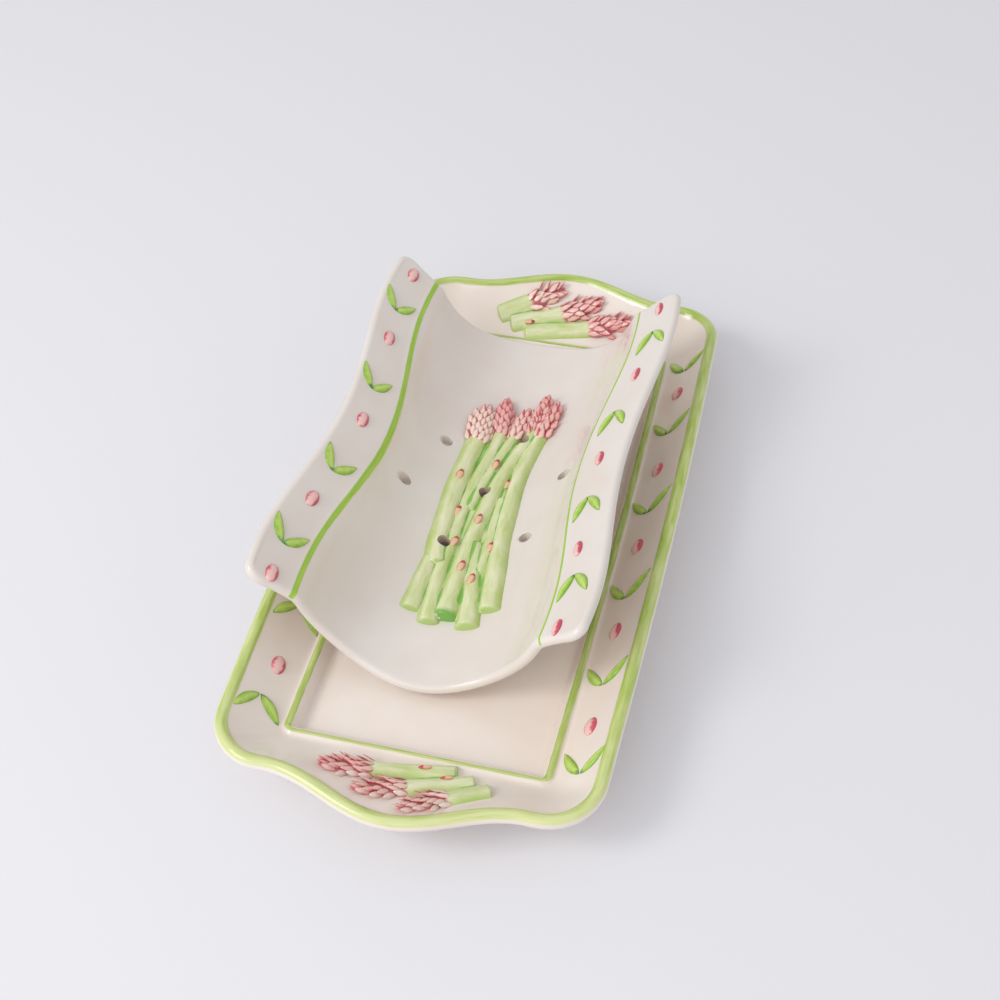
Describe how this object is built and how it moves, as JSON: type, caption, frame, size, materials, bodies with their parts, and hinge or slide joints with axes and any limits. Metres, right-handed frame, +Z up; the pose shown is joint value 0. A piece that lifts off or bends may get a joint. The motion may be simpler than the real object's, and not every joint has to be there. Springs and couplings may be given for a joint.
{
  "type": "asparagus plate",
  "caption": "Oblong glazed earthenware serving platter with lobed ends and a lift-out waisted drainer trough with drain holes, both with raised asparagus.",
  "frame": {"origin": "middle of the platter's foot, on the table", "axes": "+X across the platter, +Y along it to the far end, +Z up"},
  "size_m": [0.177, 0.366, 0.0713],
  "materials": {
    "platter_glaze": "gloss",
    "drainer_glaze": "gloss"
  },
  "bodies": {
    "platter": {"platter": "platter_glaze"},
    "drainer": {"drainer": "drainer_glaze"}
  },
  "joints": [
    {"name": "drainer_lift", "type": "slide", "parent": "platter", "child": "drainer", "axis": [0, 0, 1], "range_m": [0, 0.12]}
  ]
}
